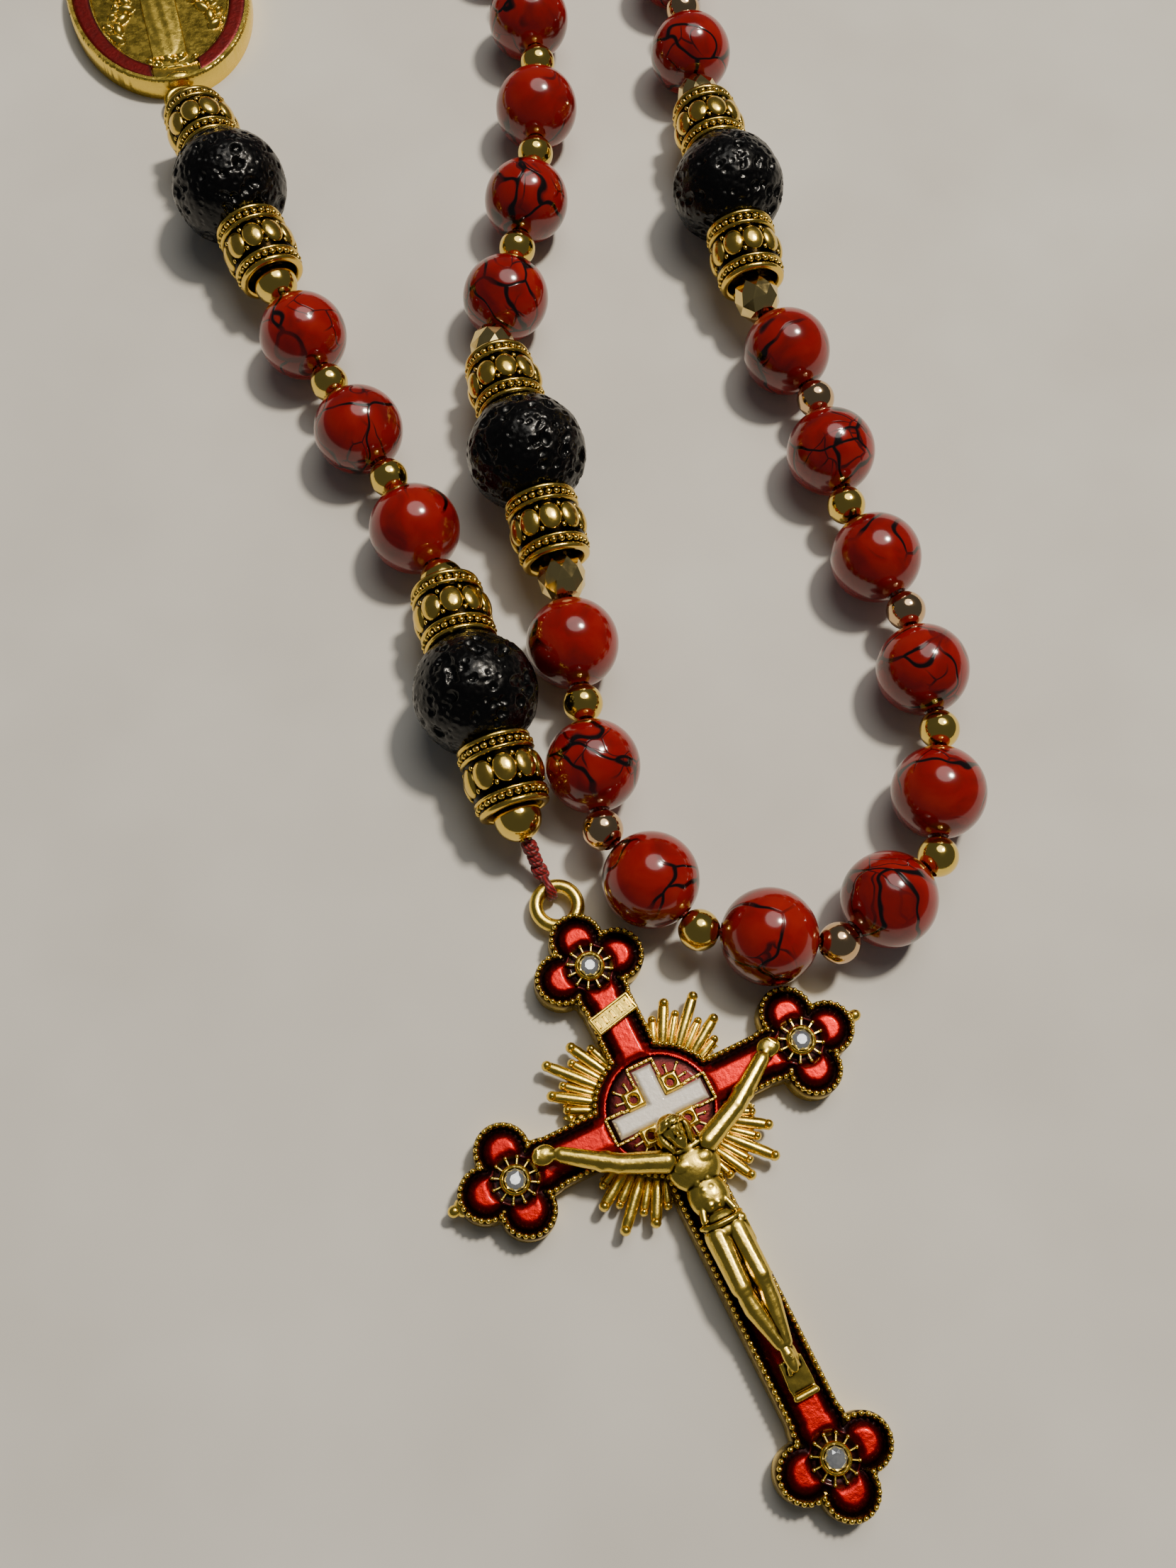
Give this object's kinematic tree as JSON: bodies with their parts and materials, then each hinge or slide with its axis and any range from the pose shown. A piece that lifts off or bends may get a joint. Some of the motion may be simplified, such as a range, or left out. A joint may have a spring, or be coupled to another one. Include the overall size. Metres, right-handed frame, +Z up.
{
  "type": "rosary",
  "caption": "Five-decade rosary laid out on a table, with crackled red stone beads, black lava beads, gold spacers and caps, an oval medal, and an enamelled crucifix on a pendant strand.",
  "frame": {"origin": "centre of the laid-out rosary's footprint, on the table it lies on", "axes": "+Z up from the table; +Y from the crucifix towards the top of the folded loop, along its longest side; +X to the right seen from the crucifix end"},
  "size_m": [0.0908, 0.2572, 0.0106],
  "materials": {
    "red_stone": "polished, dyed red with thin dark crackle veins",
    "lava_stone": "satin black with open pits",
    "gold": "polished gold plating",
    "pale_gold": "bright pale gold with diamond-cut facets",
    "old_gold": "antiqued gold with dark recesses",
    "red_thread": "waxed crimson thread",
    "red_enamel": "translucent orange-red enamel, darker at the edges",
    "white_enamel": "smooth opaque white enamel",
    "crystal": "clear faceted crystal"
  },
  "bodies": {
    "upper_loop": {"left_leg_bead_4": "red_stone", "right_leg_bead_2": "red_stone", "left_second_decade": "red_stone", "right_fourth_decade": "red_stone", "left_far_section": "old_gold", "right_far_section": "old_gold", "first_decade": "red_stone", "fifth_decade": "red_stone"},
    "medal": {"medal_body": "gold", "medal_enamel_band": "red_enamel"},
    "pendant_upper": {"thread_upper": "red_thread", "pendant_cap_1": "old_gold", "pendant_cap_2": "old_gold"},
    "pendant_link_1": {"string_pendant_1": "gold"},
    "pendant_link_2": {"string_pendant_2": "gold"},
    "pendant_link_3": {"string_pendant_3": "gold"},
    "pendant_lower": {"thread_lower": "red_thread", "pendant_cap_3": "old_gold", "pendant_cap_4": "old_gold"},
    "crucifix": {"crucifix_body": "gold", "crucifix_red_enamel": "red_enamel", "crucifix_white_enamel": "white_enamel", "crucifix_corpus": "gold", "crucifix_title_plaque": "gold", "crystal_top": "crystal", "crystal_left": "crystal", "crystal_right": "crystal", "crystal_foot": "crystal"},
    "middle_loop": {"string_left_leg": "gold", "string_right_leg": "gold", "loop_cap_1": "old_gold", "loop_cap_2": "old_gold", "loop_cap_3": "old_gold", "loop_cap_4": "old_gold", "faceted_spacer_1": "pale_gold", "faceted_spacer_2": "pale_gold", "faceted_spacer_3": "pale_gold", "faceted_spacer_4": "pale_gold", "left_leg_bead_1": "red_stone", "left_leg_bead_2": "red_stone", "left_leg_bead_3": "red_stone", "right_leg_bead_1": "red_stone"},
    "lower_loop": {"string_loop_bottom": "gold"},
    "decade_bead_1": {"decade_bead_1": "red_stone"},
    "decade_bead_8": {"decade_bead_8": "red_stone"},
    "decade_bead_9": {"decade_bead_9": "red_stone"},
    "decade_bead_10": {"decade_bead_10": "red_stone"},
    "decade_bead_2": {"decade_bead_2": "red_stone"},
    "decade_bead_3": {"decade_bead_3": "red_stone"},
    "decade_bead_4": {"decade_bead_4": "red_stone"},
    "decade_bead_5": {"decade_bead_5": "red_stone"},
    "decade_bead_6": {"decade_bead_6": "red_stone"},
    "decade_bead_7": {"decade_bead_7": "red_stone"},
    "loop_lava_left": {"loop_lava_left": "lava_stone"},
    "loop_lava_right": {"loop_lava_right": "lava_stone"},
    "pendant_lava_upper": {"pendant_lava_upper": "lava_stone"},
    "pendant_bead_1": {"pendant_bead_1": "red_stone"},
    "pendant_bead_2": {"pendant_bead_2": "red_stone"},
    "pendant_bead_3": {"pendant_bead_3": "red_stone"},
    "pendant_lava_lower": {"pendant_lava_lower": "lava_stone"}
  },
  "joints": [
    {"name": "medal_lift", "type": "hinge", "parent": "upper_loop", "child": "medal", "pos_m": [-0.03515, 0.02668, 0.0012], "axis": [-0.9659, -0.2588, 0], "range_deg": [0, 75]},
    {"name": "pendant_swing", "type": "hinge", "parent": "medal", "child": "pendant_upper", "pos_m": [-0.02829, 0.00108, 0.0012], "axis": [0, 0, 1], "range_deg": [-60, 0]},
    {"name": "pendant_bend_1", "type": "hinge", "parent": "pendant_upper", "child": "pendant_link_1", "pos_m": [-0.01703, -0.02331, 0.0044], "axis": [-0.8839, -0.4678, 0], "range_deg": [0, 50]},
    {"name": "pendant_bend_2", "type": "hinge", "parent": "pendant_link_1", "child": "pendant_link_2", "pos_m": [-0.01154, -0.03368, 0.004], "axis": [0, 0, -1], "range_deg": [0, 60]},
    {"name": "pendant_bend_3", "type": "hinge", "parent": "pendant_link_2", "child": "pendant_link_3", "pos_m": [-0.00571, -0.04351, 0.004], "axis": [0.8988, 0.4384, 0], "range_deg": [-75, 0]},
    {"name": "pendant_bend_4", "type": "hinge", "parent": "pendant_link_3", "child": "pendant_lower", "pos_m": [-0.00058, -0.05404, 0.0044], "axis": [0, 0, 1], "range_deg": [-50, 0]},
    {"name": "crucifix_lift", "type": "hinge", "parent": "pendant_lower", "child": "crucifix", "pos_m": [0.00888, -0.08065, 0.00125], "axis": [-0.8815, -0.4319, -0.1908], "range_deg": [0, 90]},
    {"name": "loop_fold_upper", "type": "hinge", "parent": "upper_loop", "child": "middle_loop", "pos_m": [0.0144, 0.00865, 0.004], "axis": [-0.8876, -0.4606, 0], "range_deg": [0, 75]},
    {"name": "loop_fold_lower", "type": "hinge", "parent": "middle_loop", "child": "lower_loop", "pos_m": [0.02581, -0.06037, 0.004], "axis": [-0.9483, -0.3174, 0], "range_deg": [0, 75]},
    {"name": "decade_bead_1_spin", "type": "hinge", "parent": "middle_loop", "child": "decade_bead_1", "pos_m": [0.01072, -0.05942, 0.004], "axis": [0.159, -0.9866, -0.0376], "continuous": true},
    {"name": "decade_bead_8_spin", "type": "hinge", "parent": "middle_loop", "child": "decade_bead_8", "pos_m": [0.03765, -0.05043, 0.004], "axis": [-0.4087, 0.9127, 0], "continuous": true},
    {"name": "decade_bead_9_spin", "type": "hinge", "parent": "middle_loop", "child": "decade_bead_9", "pos_m": [0.0342, -0.0396, 0.004], "axis": [-0.193, 0.9812, 0], "continuous": true},
    {"name": "decade_bead_10_spin", "type": "hinge", "parent": "middle_loop", "child": "decade_bead_10", "pos_m": [0.03064, -0.02885, 0.004], "axis": [-0.4312, 0.9015, 0.0376], "continuous": true},
    {"name": "decade_bead_2_spin", "type": "hinge", "parent": "lower_loop", "child": "decade_bead_2", "pos_m": [0.01246, -0.07076, 0.004], "axis": [0.1441, -0.9896, 0], "continuous": true},
    {"name": "decade_bead_3_spin", "type": "hinge", "parent": "lower_loop", "child": "decade_bead_3", "pos_m": [0.01715, -0.08064, 0.004], "axis": [0.678, -0.7351, 0], "continuous": true},
    {"name": "decade_bead_4_spin", "type": "hinge", "parent": "lower_loop", "child": "decade_bead_4", "pos_m": [0.02674, -0.08534, 0.004], "axis": [0.9967, -0.0808, 0], "continuous": true},
    {"name": "decade_bead_5_spin", "type": "hinge", "parent": "lower_loop", "child": "decade_bead_5", "pos_m": [0.03673, -0.08206, 0.004], "axis": [0.7554, 0.6553, 0], "continuous": true},
    {"name": "decade_bead_6_spin", "type": "hinge", "parent": "lower_loop", "child": "decade_bead_6", "pos_m": [0.04155, -0.07264, 0.004], "axis": [0.0883, 0.9961, 0], "continuous": true},
    {"name": "decade_bead_7_spin", "type": "hinge", "parent": "lower_loop", "child": "decade_bead_7", "pos_m": [0.04102, -0.0613, 0.004], "axis": [-0.1816, 0.9834, 0], "continuous": true},
    {"name": "loop_lava_left_spin", "type": "hinge", "parent": "middle_loop", "child": "loop_lava_left", "pos_m": [0.00651, -0.04158, 0.0054], "axis": [-0.2651, 0.9642, 0], "continuous": true},
    {"name": "loop_lava_right_spin", "type": "hinge", "parent": "middle_loop", "child": "loop_lava_right", "pos_m": [0.02551, -0.0113, 0.0054], "axis": [-0.1996, 0.9799, 0], "continuous": true},
    {"name": "pendant_lava_upper_spin", "type": "hinge", "parent": "pendant_upper", "child": "pendant_lava_upper", "pos_m": [-0.02191, -0.01308, 0.0054], "axis": [0.4202, -0.9074, 0], "continuous": true},
    {"name": "pendant_bead_1_spin", "type": "hinge", "parent": "pendant_link_1", "child": "pendant_bead_1", "pos_m": [-0.01422, -0.02861, 0.004], "axis": [0.4675, -0.8833, -0.0341], "continuous": true},
    {"name": "pendant_bead_2_spin", "type": "hinge", "parent": "pendant_link_2", "child": "pendant_bead_2", "pos_m": [-0.00863, -0.03859, 0.004], "axis": [0.5098, -0.8603, 0], "continuous": true},
    {"name": "pendant_bead_3_spin", "type": "hinge", "parent": "pendant_link_3", "child": "pendant_bead_3", "pos_m": [-0.00322, -0.04863, 0.004], "axis": [0.4382, -0.8982, 0.0341], "continuous": true},
    {"name": "pendant_lava_lower_spin", "type": "hinge", "parent": "pendant_lower", "child": "pendant_lava_lower", "pos_m": [0.00256, -0.06498, 0.0054], "axis": [0.3019, -0.9533, 0], "continuous": true}
  ]
}
